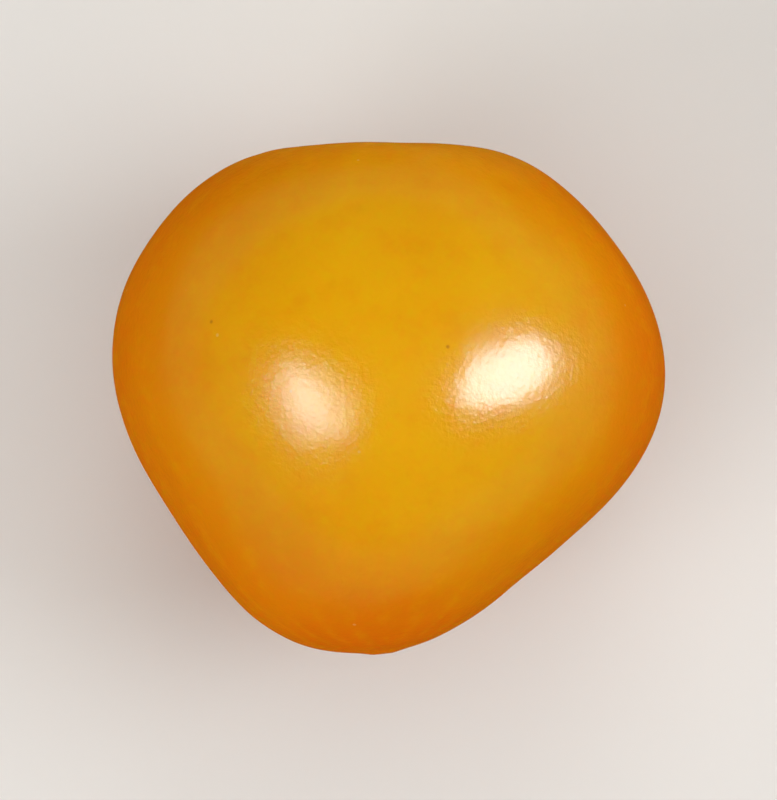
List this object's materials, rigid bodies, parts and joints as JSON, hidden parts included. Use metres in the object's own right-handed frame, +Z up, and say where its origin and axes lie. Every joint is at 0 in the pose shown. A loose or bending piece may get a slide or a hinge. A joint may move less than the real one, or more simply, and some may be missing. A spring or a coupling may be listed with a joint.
{
  "type": "physalis berry",
  "caption": "Ripe round berry, broad at the corky stem scar and tapering to a small blossom-end nub, lying on its side",
  "frame": {"origin": "the middle of the underside of the part's box, on the surface that the berry lies on", "axes": "+Z up; +Y towards the stem end, which is the top of the picture; -Y towards the blossom end; +X to the right in the picture"},
  "size_m": [0.0248, 0.0228, 0.0242],
  "materials": {
    "skin": "gloss"
  },
  "bodies": {
    "root": {"berry": "skin"}
  },
  "joints": []
}
